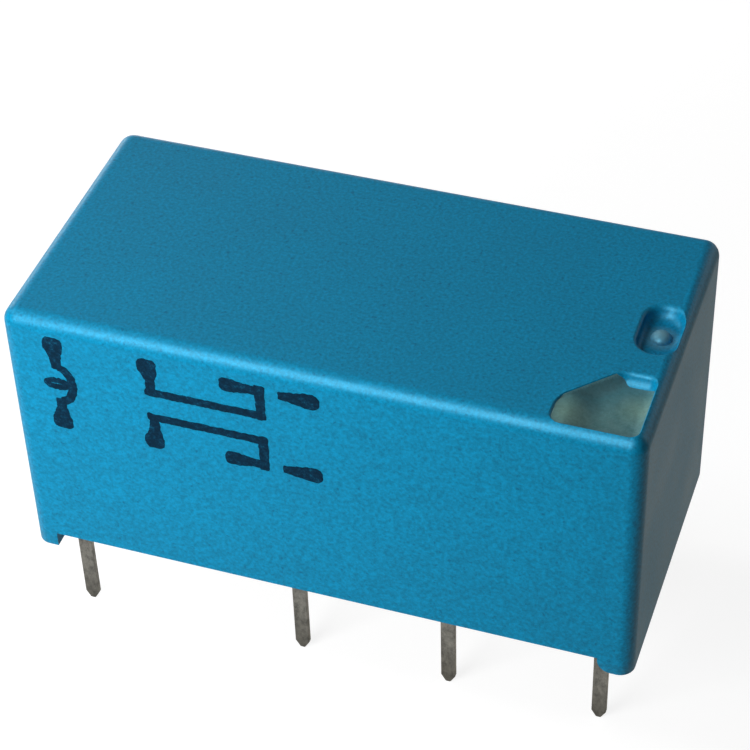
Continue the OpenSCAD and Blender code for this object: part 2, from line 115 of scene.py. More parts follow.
def mouldedPlastic(name, look):
    # spark-eroded mould: a fine even grain, faint specks of filler, soft sheen
    made, tree, skin, place = startMaterial(name, look["shader"])
    grain = addNode(tree, "TexNoise", {"Scale": perSize(look["grainMm"]), "Detail": 2, "Roughness": 0.6},
                    {"Vector": place})
    cloud = addNode(tree, "TexNoise", {"Scale": perSize(look["cloudMm"]), "Detail": 3}, {"Vector": place})
    speck = addNode(tree, "TexNoise", {"Scale": perSize(look["speckMm"]), "Detail": 1}, {"Vector": place})
    body = addNode(tree, "ValToRGB", links={"Fac": grain.outputs["Fac"]},
                   stops=linearStops(zip(plastic["shadeAt"], (look["shade"], look["light"]))))
    haze = addNode(tree, "ValToRGB", links={"Fac": cloud.outputs["Fac"]},
                   stops=list(zip(plastic["cloudAt"], (grey(plastic["cloudDark"]), grey(1)))))
    broad = addNode(tree, "Mix", {"data_type": "RGBA", "blend_type": "MULTIPLY", 0: look["cloud"]}, {
        6: body.outputs["Color"], 7: haze.outputs["Color"]})
    darkSpeck = addNode(tree, "MapRange", {
        "From Min": plastic["speckAt"][0], "From Max": plastic["speckAt"][1], "To Max": look["speck"]},
        {"Value": speck.outputs["Fac"]})
    shade = addNode(tree, "Mix", {"data_type": "RGBA", 7: linear(look["speckColour"])}, {
        0: darkSpeck.outputs["Result"], 6: broad.outputs[2]}).outputs[2]
    # pale round the nib stub: partly stress-whitened plastic, partly a painted highlight
    if "stubWhiteningAndHighlight" in look:
        shade = withSpot(tree, place, shade, look["stubWhiteningAndHighlight"])
    tree.links.new(shade, skin.inputs["Base Color"])
    rough = addNode(tree, "MapRange", {
        "To Min": look["rough"] - plastic["roughSpread"], "To Max": look["rough"] + plastic["roughSpread"]},
        {"Value": cloud.outputs["Fac"]}).outputs["Result"]
    if "topRough" in look:
        rough = addNode(tree, "Math", {"operation": "ADD"}, {
            0: rough, 1: byHeight(tree, place, look["topAt"], 0, look["topRough"])}).outputs[0]
    tree.links.new(rough, skin.inputs["Roughness"])
    relief = addNode(tree, "Bump", {"Strength": look["bump"], "Distance": look["bumpMm"] * mm},
                     {"Height": grain.outputs["Fac"]})
    tree.links.new(relief.outputs["Normal"], skin.inputs["Normal"])
    return made


# blue PBT: saturated and satin, rougher on the flat roof, pale round the snapped-off nib, partly stress-whitened
# plastic and partly a painted highlight
coverBlue = mouldedPlastic("mouldedPbtBlue", {
    "shader": {"IOR": 1.5, "Specular IOR Level": 0.35, "Specular Tint": linear("#84DCFF")},
    "shade": "#00789F", "light": "#0098C9",
    "grainMm": 0.1, "cloudMm": 2.2, "cloud": 0.17, "speckMm": 0.16, "speck": 0.5, "speckColour": "#03567A",
    "rough": 0.42, "bump": 0.3, "bumpMm": 0.012, "topRough": 0.22, "topAt": (9.85, 9.89),
    "stubWhiteningAndHighlight": {"at": (9.3, 0.14, 9.62), "reach": (0.12, 0.62), "strength": 0.6, "colour": "#8CB4BA"}})
# liquid crystal polymer: near black, flat and even
basePlastic = mouldedPlastic("mouldedLcpBlack", {
    "shader": {"IOR": 1.55}, "shade": "#15181A", "light": "#222629",
    "grainMm": 0.1, "cloudMm": 1.8, "cloud": 0.25, "speckMm": 0.12, "speck": 0.3, "speckColour": "#3A4044",
    "rough": 0.48, "bump": 0.3, "bumpMm": 0.012})
# glass-filled nylon: greenish black with paler specks of glass
bobbinPlastic = mouldedPlastic("mouldedNylonGreenBlack", {
    "shader": {"IOR": 1.53}, "shade": "#1D2620", "light": "#2B352E",
    "grainMm": 0.1, "cloudMm": 1.5, "cloud": 0.25, "speckMm": 0.14, "speck": 0.3, "speckColour": "#465048",
    "rough": 0.42, "bump": 0.3, "bumpMm": 0.01})
# undyed moulding: cream, smooth and nearly matt
cardPlastic = mouldedPlastic("mouldedCardCream", {
    "shader": {"IOR": 1.53}, "shade": "#D8D0B8", "light": "#E6DFCA",
    "grainMm": 0.1, "cloudMm": 1.2, "cloud": 0.2, "speckMm": 0.12, "speck": 0.2, "speckColour": "#B9AE90",
    "rough": 0.45, "bump": 0.25, "bumpMm": 0.01})

metal = {"patchAt": (0.32, 0.5, 0.72), "roughAt": (0.3, 0.7), "roughSpread": 0.08, "lineDepthMm": 0.01}


def wornMetal(name, look):
    # plated or rolled sheet: a slightly uneven sheen, dull patches, and drawn lines along one axis
    made, tree, skin, place = startMaterial(name, {"Metallic": 1.0})
    drawn = addNode(tree, "Mapping", {"Scale": look["stretch"]}, {"Vector": place})
    halfDrawn = addNode(tree, "Mapping", {"Scale": [(1 + s) / 2 for s in look["stretch"]]}, {"Vector": place})
    lines = addNode(tree, "TexNoise", {"Scale": perSize(look["lineMm"]), "Detail": 3, "Roughness": 0.65},
                    {"Vector": drawn.outputs["Vector"]})
    patch = addNode(tree, "TexNoise", {"Scale": perSize(look["patchMm"]), "Detail": 4, "Roughness": 0.7},
                    {"Vector": halfDrawn.outputs["Vector"]})
    shade = addNode(tree, "ValToRGB", links={"Fac": patch.outputs["Fac"]}, stops=linearStops(
        zip(metal["patchAt"], (look["dark"], look["mid"], look["light"])))).outputs["Color"]
    if "tipAt" in look:
        shade = addNode(tree, "Mix", {"data_type": "RGBA", 7: linear(look["tipColour"])}, {
            0: byHeight(tree, place, look["tipAt"], look["tipDark"], 0), 6: shade}).outputs[2]
    tree.links.new(shade, skin.inputs["Base Color"])
    rough = addNode(tree, "MapRange", {
        "From Min": metal["roughAt"][0], "From Max": metal["roughAt"][1],
        "To Min": look["rough"] + metal["roughSpread"], "To Max": look["rough"] - metal["roughSpread"]},
        {"Value": patch.outputs["Fac"]})
    tree.links.new(rough.outputs["Result"], skin.inputs["Roughness"])
    relief = addNode(tree, "Bump", {"Strength": look["bump"], "Distance": metal["lineDepthMm"] * mm},
                     {"Height": lines.outputs["Fac"]})
    tree.links.new(relief.outputs["Normal"], skin.inputs["Normal"])
    return made


# hot tin dip on sheet: dull grey that ran along the pin, darker towards its tip
tinnedPin = wornMetal("tinDippedSheet", {
    "dark": "#5D5D5B", "mid": "#858583", "light": "#A3A29F", "rough": 0.42, "bump": 0.25,
    "lineMm": 0.1, "patchMm": 0.22, "stretch": (1, 1, 0.16),
    "tipAt": (-3.4, -1.6), "tipDark": 0.6, "tipColour": "#4C4B48"})
# silver under a flash of gold: warm, pale and smooth
contactSilver = wornMetal("giltSilverContact", {
    "dark": "#B39358", "mid": "#CDB07A", "light": "#DEC694", "rough": 0.28, "bump": 0.15,
    "lineMm": 0.08, "patchMm": 0.2, "stretch": (1, 1, 1)})
# rolled strip: reddish gold, with lines along the spring
springBronze = wornMetal("rolledPhosphorBronze", {
    "dark": "#9C6B3D", "mid": "#BC8650", "light": "#CE9C66", "rough": 0.3, "bump": 0.25,
    "lineMm": 0.08, "patchMm": 0.6, "stretch": (0.1, 1, 1)})
# plated soft iron: cool grey and cloudy, rolled along the yoke
nickelIron = wornMetal("nickelPlatedIron", {
    "dark": "#8F9192", "mid": "#A9ABAB", "light": "#BCBDBC", "rough": 0.34, "bump": 0.2,
    "lineMm": 0.12, "patchMm": 0.9, "stretch": (0.3, 1, 1)})
# drawn wire: a darker grey, with fine lines along it
stapleSteel = wornMetal("drawnSpringSteel", {
    "dark": "#7E8286", "mid": "#9A9DA0", "light": "#B0B2B4", "rough": 0.3, "bump": 0.2,
    "lineMm": 0.05, "patchMm": 0.4, "stretch": (1, 1, 0.15)})

inkLook = {"shader": {"Roughness": 0.7, "Specular IOR Level": 0.04}, "wornMm": 0.14,
           "shades": ((0.42, "#07263A"), (0.6, "#0A344D"), (0.74, "#0D5674"))}


def padInk():
    # pad-printed ink: almost black blue, thin enough for the blue below to show at its worn spots
    made, tree, skin, place = startMaterial("padPrintInk", inkLook["shader"])
    worn = addNode(tree, "TexNoise", {"Scale": perSize(inkLook["wornMm"]), "Detail": 3, "Roughness": 0.7},
                   {"Vector": place})
    shade = addNode(tree, "ValToRGB", links={"Fac": worn.outputs["Fac"]}, stops=linearStops(inkLook["shades"]))
    tree.links.new(shade.outputs["Color"], skin.inputs["Base Color"])
    return made


# the paint thins and darkens with painted shade along a line across the part, from one distance to another, in
# mm
paintLook = {"shader": {"Roughness": 0.6, "Specular IOR Level": 0.3}, "reliefMm": 0.02,
             "blotMm": 0.7, "shades": ((0.36, "#4B8184"), (0.62, "#659597")),
             "gritMm": 0.13, "grit": 0.3, "gritAt": (0.38, 0.6), "gritDark": 0.45,
             "thinAndShade": 0.75, "thinAndShadeAcross": (0.72, -0.69, 0), "thinAndShadeAt": (8.05, 8.75), "thinAndShadeColour": "#3C7C88"}
paleSpotsAndLight = [{"at": (7.45, -4.1, 9.7), "reach": (0.1, 0.85), "strength": 0.55, "colour": "#8AAE9A"},
              {"at": (9.45, -3.2, 9.55), "reach": (0.1, 0.75), "strength": 0.45, "colour": "#8AAE9A"}]


def markPaint():
    # brushed paint: dull olive and gritty, thin and darkened with painted shade up the slanting wall, with pale
    # spots at two corners that are partly paler paint and partly painted light
    made, tree, skin, place = startMaterial("olivePaint", paintLook["shader"])
    blot = addNode(tree, "TexNoise", {"Scale": perSize(paintLook["blotMm"]), "Detail": 6, "Roughness": 0.78},
                   {"Vector": place})
    shade = addNode(tree, "ValToRGB", links={"Fac": blot.outputs["Fac"]},
                    stops=linearStops(paintLook["shades"])).outputs["Color"]
    # darker and bluer towards the slanting wall: thin paint over the blue, plus painted shade
    across = addNode(tree, "VectorMath", {"operation": "DOT_PRODUCT", 1: paintLook["thinAndShadeAcross"]}, {0: place})
    thinAndShade = addNode(tree, "MapRange", {
        "From Min": paintLook["thinAndShadeAt"][0] * mm, "From Max": paintLook["thinAndShadeAt"][1] * mm,
        "To Min": paintLook["thinAndShade"], "To Max": 0}, {"Value": across.outputs["Value"]})
    shade = addNode(tree, "Mix", {"data_type": "RGBA", 7: linear(paintLook["thinAndShadeColour"])}, {
        0: thinAndShade.outputs["Result"], 6: shade}).outputs[2]
    # pale spots: partly paler paint, and at the coil-side tip partly painted light over the shade there
    for spot in paleSpotsAndLight:
        shade = withSpot(tree, place, shade, spot)
    grit = addNode(tree, "TexNoise", {"Scale": perSize(paintLook["gritMm"]), "Detail": 3, "Roughness": 0.7},
                   {"Vector": place})
    grains = addNode(tree, "ValToRGB", links={"Fac": grit.outputs["Fac"]},
                     stops=list(zip(paintLook["gritAt"], (grey(paintLook["gritDark"]), grey(1)))))
    shade = addNode(tree, "Mix", {"data_type": "RGBA", "blend_type": "MULTIPLY", 0: paintLook["grit"]}, {
        6: shade, 7: grains.outputs["Color"]}).outputs[2]
    tree.links.new(shade, skin.inputs["Base Color"])
    relief = addNode(tree, "Bump", {"Strength": 0.3, "Distance": paintLook["reliefMm"] * mm},
                     {"Height": blot.outputs["Fac"]})
    tree.links.new(relief.outputs["Normal"], skin.inputs["Normal"])
    return made


resinLook = {"shader": {"IOR": 1.55}, "dustMm": 0.2, "shades": ((0.4, "#1C1A17"), (0.75, "#34302A")),
             "dustAt": (0.4, 0.7), "rough": (0.2, 0.42), "rippleMm": 1.6, "rippleDepthMm": 0.06}


def castResin():
    # cast epoxy: almost black, glassy, with a slow ripple and dust in its skin
    made, tree, skin, place = startMaterial("castEpoxy", resinLook["shader"])
    dust = addNode(tree, "TexNoise", {"Scale": perSize(resinLook["dustMm"]), "Detail": 3, "Roughness": 0.7},
                   {"Vector": place})
    ripple = addNode(tree, "TexNoise", {"Scale": perSize(resinLook["rippleMm"]), "Detail": 2},
                     {"Vector": place})
    shade = addNode(tree, "ValToRGB", links={"Fac": dust.outputs["Fac"]},
                    stops=linearStops(resinLook["shades"]))
    tree.links.new(shade.outputs["Color"], skin.inputs["Base Color"])
    rough = addNode(tree, "MapRange", {
        "From Min": resinLook["dustAt"][0], "From Max": resinLook["dustAt"][1],
        "To Min": resinLook["rough"][0], "To Max": resinLook["rough"][1]}, {"Value": dust.outputs["Fac"]})
    tree.links.new(rough.outputs["Result"], skin.inputs["Roughness"])
    relief = addNode(tree, "Bump", {"Strength": 0.4, "Distance": resinLook["rippleDepthMm"] * mm},
                     {"Height": ripple.outputs["Fac"]})
    tree.links.new(relief.outputs["Normal"], skin.inputs["Normal"])
    return made


copperLook = {"shader": {"Metallic": 0.9, "Roughness": 0.3, "Coat Weight": 0.6, "Coat Roughness": 0.15},
              "turnMm": 0.2, "stretch": (1, 0.05, 0.05), "shades": ((0.3, "#8E3F1C"), (0.7, "#C06A38"))}


def enamelledCopper():
    # enamelled magnet wire: copper under clear varnish, each turn a little lighter or darker
    made, tree, skin, place = startMaterial("enamelledCopper", copperLook["shader"])
    alongWire = addNode(tree, "Mapping", {"Scale": copperLook["stretch"]}, {"Vector": place})
    turn = addNode(tree, "TexNoise", {"Scale": perSize(copperLook["turnMm"]), "Detail": 2},
                   {"Vector": alongWire.outputs["Vector"]})
    shade = addNode(tree, "ValToRGB", links={"Fac": turn.outputs["Fac"]},
                    stops=linearStops(copperLook["shades"]))
    tree.links.new(shade.outputs["Color"], skin.inputs["Base Color"])
    return made


tapeLook = {"shader": {"Roughness": 0.22, "Coat Weight": 0.4, "Coat Roughness": 0.1}, "creaseMm": 0.5,
            "stretch": (1, 0.3, 0.3), "shades": ((0.3, "#B98A1E"), (0.7, "#D8AC3C")), "creaseDepthMm": 0.03}


def polyesterTape():
    # amber polyester film over the winding, with faint creases along the wrap
    made, tree, skin, place = startMaterial("amberPolyesterFilm", tapeLook["shader"])
    alongWrap = addNode(tree, "Mapping", {"Scale": tapeLook["stretch"]}, {"Vector": place})
    crease = addNode(tree, "TexNoise", {"Scale": perSize(tapeLook["creaseMm"]), "Detail": 3},
                     {"Vector": alongWrap.outputs["Vector"]})
    shade = addNode(tree, "ValToRGB", links={"Fac": crease.outputs["Fac"]},
                    stops=linearStops(tapeLook["shades"]))
    tree.links.new(shade.outputs["Color"], skin.inputs["Base Color"])
    relief = addNode(tree, "Bump", {"Strength": 0.35, "Distance": tapeLook["creaseDepthMm"] * mm},
                     {"Height": crease.outputs["Fac"]})
    tree.links.new(relief.outputs["Normal"], skin.inputs["Normal"])
    return made


ink, paint, resin = padInk(), markPaint(), castResin()
copper, tape = enamelledCopper(), polyesterTape()
print("materials ready")


# shared tools for the pieces

def everything(bm):
    return bm.verts[:] + bm.edges[:] + bm.faces[:]


def finishMesh(bm, name, material):
    # work is done in mm; the mesh is stored in metres, with its object at the origin
    bmesh.ops.scale(bm, vec=(mm, mm, mm), verts=bm.verts)
    mesh = bpy.data.meshes.new(name)
    bm.to_mesh(mesh)
    bm.free()
    mesh.polygons.foreach_set("use_smooth", [True] * len(mesh.polygons))
    mesh.materials.append(material)
    made = bpy.data.objects.new(name, mesh)
    scene.collection.objects.link(made)
    return made


def join(bm, other):
    # copies the other shape into bm and frees it
    spare = bpy.data.meshes.new("spare")
    other.to_mesh(spare)
    other.free()
    bm.from_mesh(spare)
    bpy.data.meshes.remove(spare)


def extrudeTo(bm, z):
    # closes a skin into a solid whose other side is flat at this height
    moved = bmesh.ops.extrude_face_region(bm, geom=bm.faces[:])
    for v in moved["geom"]:
        if isinstance(v, bmesh.types.BMVert):
            v.co.z = z
    bmesh.ops.recalc_face_normals(bm, faces=bm.faces)


def softEdges(piece, widthMm, segments=2, angle=35):
    bevel = piece.modifiers.new("softEdges", "BEVEL")
    bevel.width = widthMm * mm
    bevel.segments = segments
    bevel.limit_method = "ANGLE"
    bevel.angle_limit = math.radians(angle)
    bevel.miter_outer = "MITER_ARC"
    piece.modifiers.new("evenShading", "WEIGHTED_NORMAL").keep_sharp = True


def seat(piece, body, slot, *nodes):
    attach(piece, body)
    if nodes:
        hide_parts(*nodes)


def roundOff(bm, parts, radius, segments, affect):
    return bmesh.ops.bevel(bm, geom=list(parts), offset=radius, offset_type="OFFSET", segments=segments,
                           profile=0.5, affect=affect, material=-1)


# cover

cover = {"sideWall": 0.55, "endWall": 0.62, "roof": 0.7, "edge": 0.5, "roomCorner": 0.15, "segments": 8,
         "footHeight": 0.56, "coilFoot": 0.82, "contactFoot": 1.12, "footRound": 0.45, "footSegments": 6,
         "edgeSoft": 0.045, "edgeSegments": 3}
# lean is how far the walls at the contact end and at the back lean outwards from floor to rim
mark = {"depth": 0.42, "fromEnd": 0.36, "fromFront": 0.32, "length": 2.6, "width": 2.6, "far": 1.1,
        "near": 1.05, "slantShare": 0.6, "corner": 0.3, "floorRound": 0.27, "rim": 0.12, "lean": (0, 0.15)}
vent = {"length": 1.26, "width": 2.2, "corner": 0.6, "fromEnd": 0.8, "off": 0.12, "depth": 0.4,
        "floorRound": 0.22, "rim": 0.14, "lean": (0.04, 0.2)}
nib = {"radius": 0.32, "height": 0.2, "off": 0.14, "swell": 1.15, "segments": (32, 16)}
cut = {"steps": 6, "cornerSegments": 6, "lift": 0.003, "clear": 1}  # the cutting tools' rings, and their reach
# the paint is drawn up every wall by lip, the slanting one by creep and the contact end's by endCreep, and
# it pools at the coil side; the reaches, and endCreep's second number, say how near to a wall that starts
coat = {"thick": 0.06, "cell": 0.06, "lap": 0.01, "margin": 0.05, "lip": 0.03,
        "reaches": (0.12, 0.08, 0.42, 0.12, 0.12), "creep": 0.34, "endCreep": (0.14, 0.3), "pool": 0.3,
        "poolReach": (0.3, 1.35)}


def coverSkin(length, width, height, radius):
    # one skin of the cover, open below, with the long walls cut back between the feet
    bm = bmesh.new()
    bmesh.ops.create_cube(bm, size=1)
    bmesh.ops.scale(bm, vec=(length, width, height), verts=bm.verts)
    bmesh.ops.translate(bm, vec=(0, 0, height / 2), verts=bm.verts)
    roundOff(bm, [e for e in bm.edges if max(v.co.z for v in e.verts) > height / 2], radius,
             cover["segments"], "EDGES")
    bottom = [f for f in bm.faces if max(v.co.z for v in f.verts) < tolerance["same"]]
    bmesh.ops.delete(bm, geom=bottom, context="FACES")
    bmesh.ops.bisect_plane(bm, geom=everything(bm), dist=tolerance["cut"], plane_co=(0, 0, cover["footHeight"]),
                           plane_no=(0, 0, 1))
    coilEdge = -relay["length"] / 2 + cover["coilFoot"]
    contactEdge = relay["length"] / 2 - cover["contactFoot"]
    for x in (coilEdge, contactEdge):
        low = [f for f in bm.faces if f.calc_center_median().z < cover["footHeight"]]
        lowEdges = [e for e in bm.edges if any(f in low for f in e.link_faces)]
        lowVerts = [v for v in bm.verts if any(f in low for f in v.link_faces)]
        bmesh.ops.bisect_plane(bm, geom=low + lowEdges + lowVerts, dist=tolerance["cut"], plane_co=(x, 0, 0),
                               plane_no=(1, 0, 0))
    bmesh.ops.delete(bm, geom=[f for f in bm.faces if f.calc_center_median().z < cover["footHeight"]
                               and coilEdge < f.calc_center_median().x < contactEdge], context="FACES")
    roundOff(bm, [v for v in bm.verts if abs(v.co.x - contactEdge) < tolerance["same"]
                  and v.co.z < tolerance["same"]], cover["footRound"], cover["footSegments"], "VERTICES")
    return bm


def cutter(outlineAt, size):
    # rings from a rounded floor edge up the wall and out over a rounded rim, bridged into one tool
    top, low = relay["height"], relay["height"] - size["depth"]
    floorRound, rim = size["floorRound"], size["rim"]
    angles = [n / cut["steps"] * math.pi / 2 for n in range(cut["steps"] + 1)]
    levels = [(floorRound * (1 - math.sin(a)), low + floorRound * (1 - math.cos(a))) for a in angles]
    levels += [(-rim * (1 - math.cos(a)), top - rim * (1 - math.sin(a)) + cut["lift"]) for a in angles]
    levels.append((levels[-1][0], top + cut["clear"]))
    bm = bmesh.new()
    rings = []
    for inset, z in levels:
        ring = bmesh.new()
        below = min(max((top - z) / size["depth"], 0), 1)
        right, far = (lean * below for lean in size["lean"])
        ring.faces.new([ring.verts.new((x, y, z)) for x, y in outlineAt(inset, right, far)])
        roundOff(ring, ring.verts, size["corner"] - inset - right / 2, cut["cornerSegments"], "VERTICES")
        known = set(bm.edges)
        join(bm, ring)
        rings.append([e for e in bm.edges if e not in known])
    ends = list(bm.faces)
    bmesh.ops.delete(bm, geom=ends[1:-1], context="FACES_ONLY")
    for lower, upper in zip(rings, rings[1:]):
        bmesh.ops.bridge_loops(bm, edges=lower + upper)
    bmesh.ops.recalc_face_normals(bm, faces=bm.faces)
    return finishMesh(bm, "cutter", coverBlue)


def markOutline(inset=0.0, right=0.0, far=0.0):
    # a square with one corner cut off; right and far draw those two walls in, along the slanting one
    x = relay["length"] / 2 - mark["fromEnd"] - inset
    y = -relay["width"] / 2 + mark["fromFront"] + inset
    wide, long = mark["width"] - 2 * inset, mark["length"] - 2 * inset
    slant = (mark["length"] - mark["far"]) / (mark["width"] - mark["near"])
    return [(x - right, y), (x - right, y + wide - far),
            (x - mark["far"] + mark["slantShare"] * inset - far * slant, y + wide - far),
            (x - long, y + mark["near"] - mark["slantShare"] * inset), (x - long, y)]


def ventOutline(inset=0.0, right=0.0, far=0.0):
    x, y = relay["length"] / 2 - vent["fromEnd"], vent["off"]
    long, wide = vent["length"] / 2 - inset, vent["width"] / 2 - inset
    return [(x - long, y - wide), (x + long - right, y - wide), (x + long - right, y + wide - far),
            (x - long, y + wide - far)]


def makeNib():
    # the stub of the snapped-off nib: a low dome on the vent's floor
    bm = bmesh.new()
    bmesh.ops.create_uvsphere(bm, u_segments=nib["segments"][0], v_segments=nib["segments"][1],
                              radius=nib["radius"])
    bmesh.ops.scale(bm, vec=(1, 1, nib["height"] / nib["radius"] * nib["swell"]), verts=bm.verts)
    bmesh.ops.translate(bm, vec=(relay["length"] / 2 - vent["fromEnd"], nib["off"],
                                 relay["height"] - vent["depth"]), verts=bm.verts)
    return finishMesh(bm, "nib", coverBlue)


def combine(piece, others):
    # cuts or adds each other piece, keeps the result and drops the modifiers and the helpers
    for other, operation in others:
        step = piece.modifiers.new(operation, "BOOLEAN")
        step.operation, step.solver, step.object = operation, "EXACT", other
    shaped = bpy.data.meshes.new_from_object(piece.evaluated_get(bpy.context.evaluated_depsgraph_get()))
    piece.modifiers.clear()
    piece.data = shaped
    shaped.polygons.foreach_set("use_smooth", [True] * len(shaped.polygons))
    for other, operation in others:
        bpy.data.objects.remove(other)


def makeCover():
    bm = coverSkin(relay["length"], relay["width"], relay["height"], cover["edge"])
    join(bm, coverSkin(relay["length"] - 2 * cover["endWall"], relay["width"] - 2 * cover["sideWall"],
                       relay["height"] - cover["roof"], cover["roomCorner"]))
    bmesh.ops.bridge_loops(bm, edges=[e for e in bm.edges if e.is_boundary])
    bmesh.ops.recalc_face_normals(bm, faces=bm.faces)
    piece = finishMesh(bm, "coverBox", coverBlue)
    combine(piece, [(cutter(markOutline, mark), "DIFFERENCE"), (cutter(ventOutline, vent), "DIFFERENCE"),
                    (makeNib(), "UNION")])
    softEdges(piece, cover["edgeSoft"], cover["edgeSegments"])
    seat(piece, "housing", "cover_plastic", "cover")


def awayFrom(point, start, end):
    # distance of a point from a straight side, seen from above
    flat, start, end = Vector(point[:2]), Vector(start), Vector(end)
    along = (flat - start).dot(end - start) / (end - start).length_squared
    return (flat - start.lerp(end, min(max(along, 0), 1))).length


def makeMark():
    # paint on the recess floor, drawn up its slanting wall in a hollow and a little up the others
    bm = bmesh.new()
    low = relay["height"] - mark["depth"]
    outline = markOutline(-coat["lap"])
    sides = list(zip(outline, outline[1:] + outline[:1]))  # contact end, back, slanting, coil side and front
    cells = round(mark["length"] / coat["cell"])
    bmesh.ops.create_grid(bm, x_segments=cells, y_segments=cells, size=mark["length"] / 2 + coat["margin"])
    bmesh.ops.translate(bm, vec=(outline[0][0] - mark["length"] / 2, outline[0][1] + mark["width"] / 2, 0),
                        verts=bm.verts)
    for start, end in sides:
        bmesh.ops.bisect_plane(bm, geom=everything(bm), dist=tolerance["cut"], plane_co=(*start, 0),
                               plane_no=(end[1] - start[1], start[0] - end[0], 0), clear_outer=True)
    endCreep, endReach = coat["endCreep"]
    poolFrom, poolTo = coat["poolReach"]
    for v in bm.verts:
        away = [awayFrom(v.co, *side) for side in sides]
        near = [max(0, 1 - gap / reach) ** 2 for gap, reach in zip(away, coat["reaches"])]
        nearEnd = max(0, 1 - away[0] / endReach) ** 2
        pooled = min(max((poolTo - away[3]) / (poolTo - poolFrom), 0), 1)
        v.co.z = low + coat["thick"] + max(coat["lip"] * max(near), coat["creep"] * near[2], endCreep * nearEnd,
                                           coat["pool"] * pooled * pooled * (3 - 2 * pooled))
    extrudeTo(bm, low)
    seat(finishMesh(bm, "cornerPaint", paint), "housing", "mark_paint", "corner_mark")


makeCover()
makeMark()
print("cover and corner mark made")


# printed wiring symbols, in mm along and up the front

# step is a film's longest edge and wander how far it strays; a corner sharper than 1 radian is rounded
printed = {"thick": 0.006, "lap": 0.0007, "sunk": 0.01, "step": 0.09, "wander": 0.035, "grain": 9,
           "seed": 5, "line": 0.305, "corner": 0.07, "flareCorner": 0.05, "bowCorner": 0.3,
           "cornerSegments": 4, "sharp": 1, "flareNarrower": 0.04}
coilMark = {"x": -8.38, "top": 9.02, "low": 5.86, "blob": (0.66, 0.6, 0.2), "neck": 0.34, "neckOff": 0.03,
            "neckLap": 0.2, "bow": (0.47, 0.7), "loop": (0.34, 0.13), "loopLine": 0.23, "loopOff": 0.02,
            "loopLap": 2, "flareFrom": (0.01, 0.16), "flareTo": 0.62}
contactMark = {"left": -5.29, "armX": -1.66, "blob": (0.65, 0.6, 0.2),
               "stem": 0.34, "stemOff": 0.06, "flareFrom": (0.02, 0.14), "flareTo": (0.05, 0.56),
               "armWide": 0.32, "armOff": 0.03, "armLap": 0.1}
nearContact = {"from": -2.95, "to": -2.35, "height": 0.53, "corner": 0.16, "flare": (0.2, 0.3),
               "narrower": 0.02, "neck": 0.06, "short": 0.1, "lineExtra": 0.04}
farContact = {"from": -1.06, "to": 0.22, "height": 0.6, "corner": 0.2, "pad": 0.6, "flareShort": 0.4,
              "point": 0.28, "narrower": 0.03}
contactRows = {"Upper": {"terminal": 8.95, "line": 7.91, "contact": 8.9},
               "Lower": {"terminal": 5.86, "line": 6.88, "contact": 5.87}}


# each outline comes with the rounding of its corners

def block(x, z, wide, tall, corner=printed["corner"]):
    return corner, [(x - wide / 2, z - tall / 2), (x + wide / 2, z - tall / 2), (x + wide / 2, z + tall / 2),
                    (x - wide / 2, z + tall / 2)]


def taper(start, end, startWidth, endWidth):
    # the flare where a pad narrows into its line
    start, end = Vector(start), Vector(end)
    across = (end - start).orthogonal().normalized()
    return printed["flareCorner"], [
        tuple(start - across * startWidth / 2), tuple(end - across * endWidth / 2),
        tuple(end + across * endWidth / 2), tuple(start + across * startWidth / 2)]


def bow(x, z, wide, tall, line, fromAngle, toAngle, steps=14):
    # part of an oval ring; the angle runs clockwise from its top
    rails = [[], []]
    for n in range(steps + 1):
        angle = math.radians(fromAngle + (toAngle - fromAngle) * n / steps)
        for rail, side in zip(rails, (0.5, -0.5)):
            rail.append((x + (wide + side * line) * math.sin(angle), z + (tall + side * line) * math.cos(angle)))
    return line * printed["bowCorner"], rails[0] + rails[1][::-1]


def coilOutlines():
    x, top, low, neck = (coilMark[name] for name in ("x", "top", "low", "neck"))
    neckX, middle = x + coilMark["neckOff"], (top + low) / 2
    neckTop, neckLow = middle + coilMark["bow"][1], middle - coilMark["bow"][1]
    yield block(x, top, *coilMark["blob"])
    yield block(x, low, *coilMark["blob"])
    yield block(neckX, (top + neckTop) / 2, neck, top - neckTop + coilMark["neckLap"])
    yield block(neckX, (low + neckLow) / 2, neck, neckLow - low + coilMark["neckLap"])
    flareX, flareOff = coilMark["flareFrom"]
    for pad, inward in ((top, -1), (low, 1)):
        yield taper((x + flareX, pad + inward * flareOff), (neckX, pad + inward * coilMark["flareTo"]),
                    coilMark["blob"][0] - printed["flareNarrower"], neck)
    yield bow(neckX, middle, *coilMark["bow"], printed["line"], 0, 180)
    for angle in (0, 180):
        yield bow(x - coilMark["loopOff"], middle, *coilMark["loop"], coilMark["loopLine"],
                  angle - coilMark["loopLap"], angle + 180 + coilMark["loopLap"])


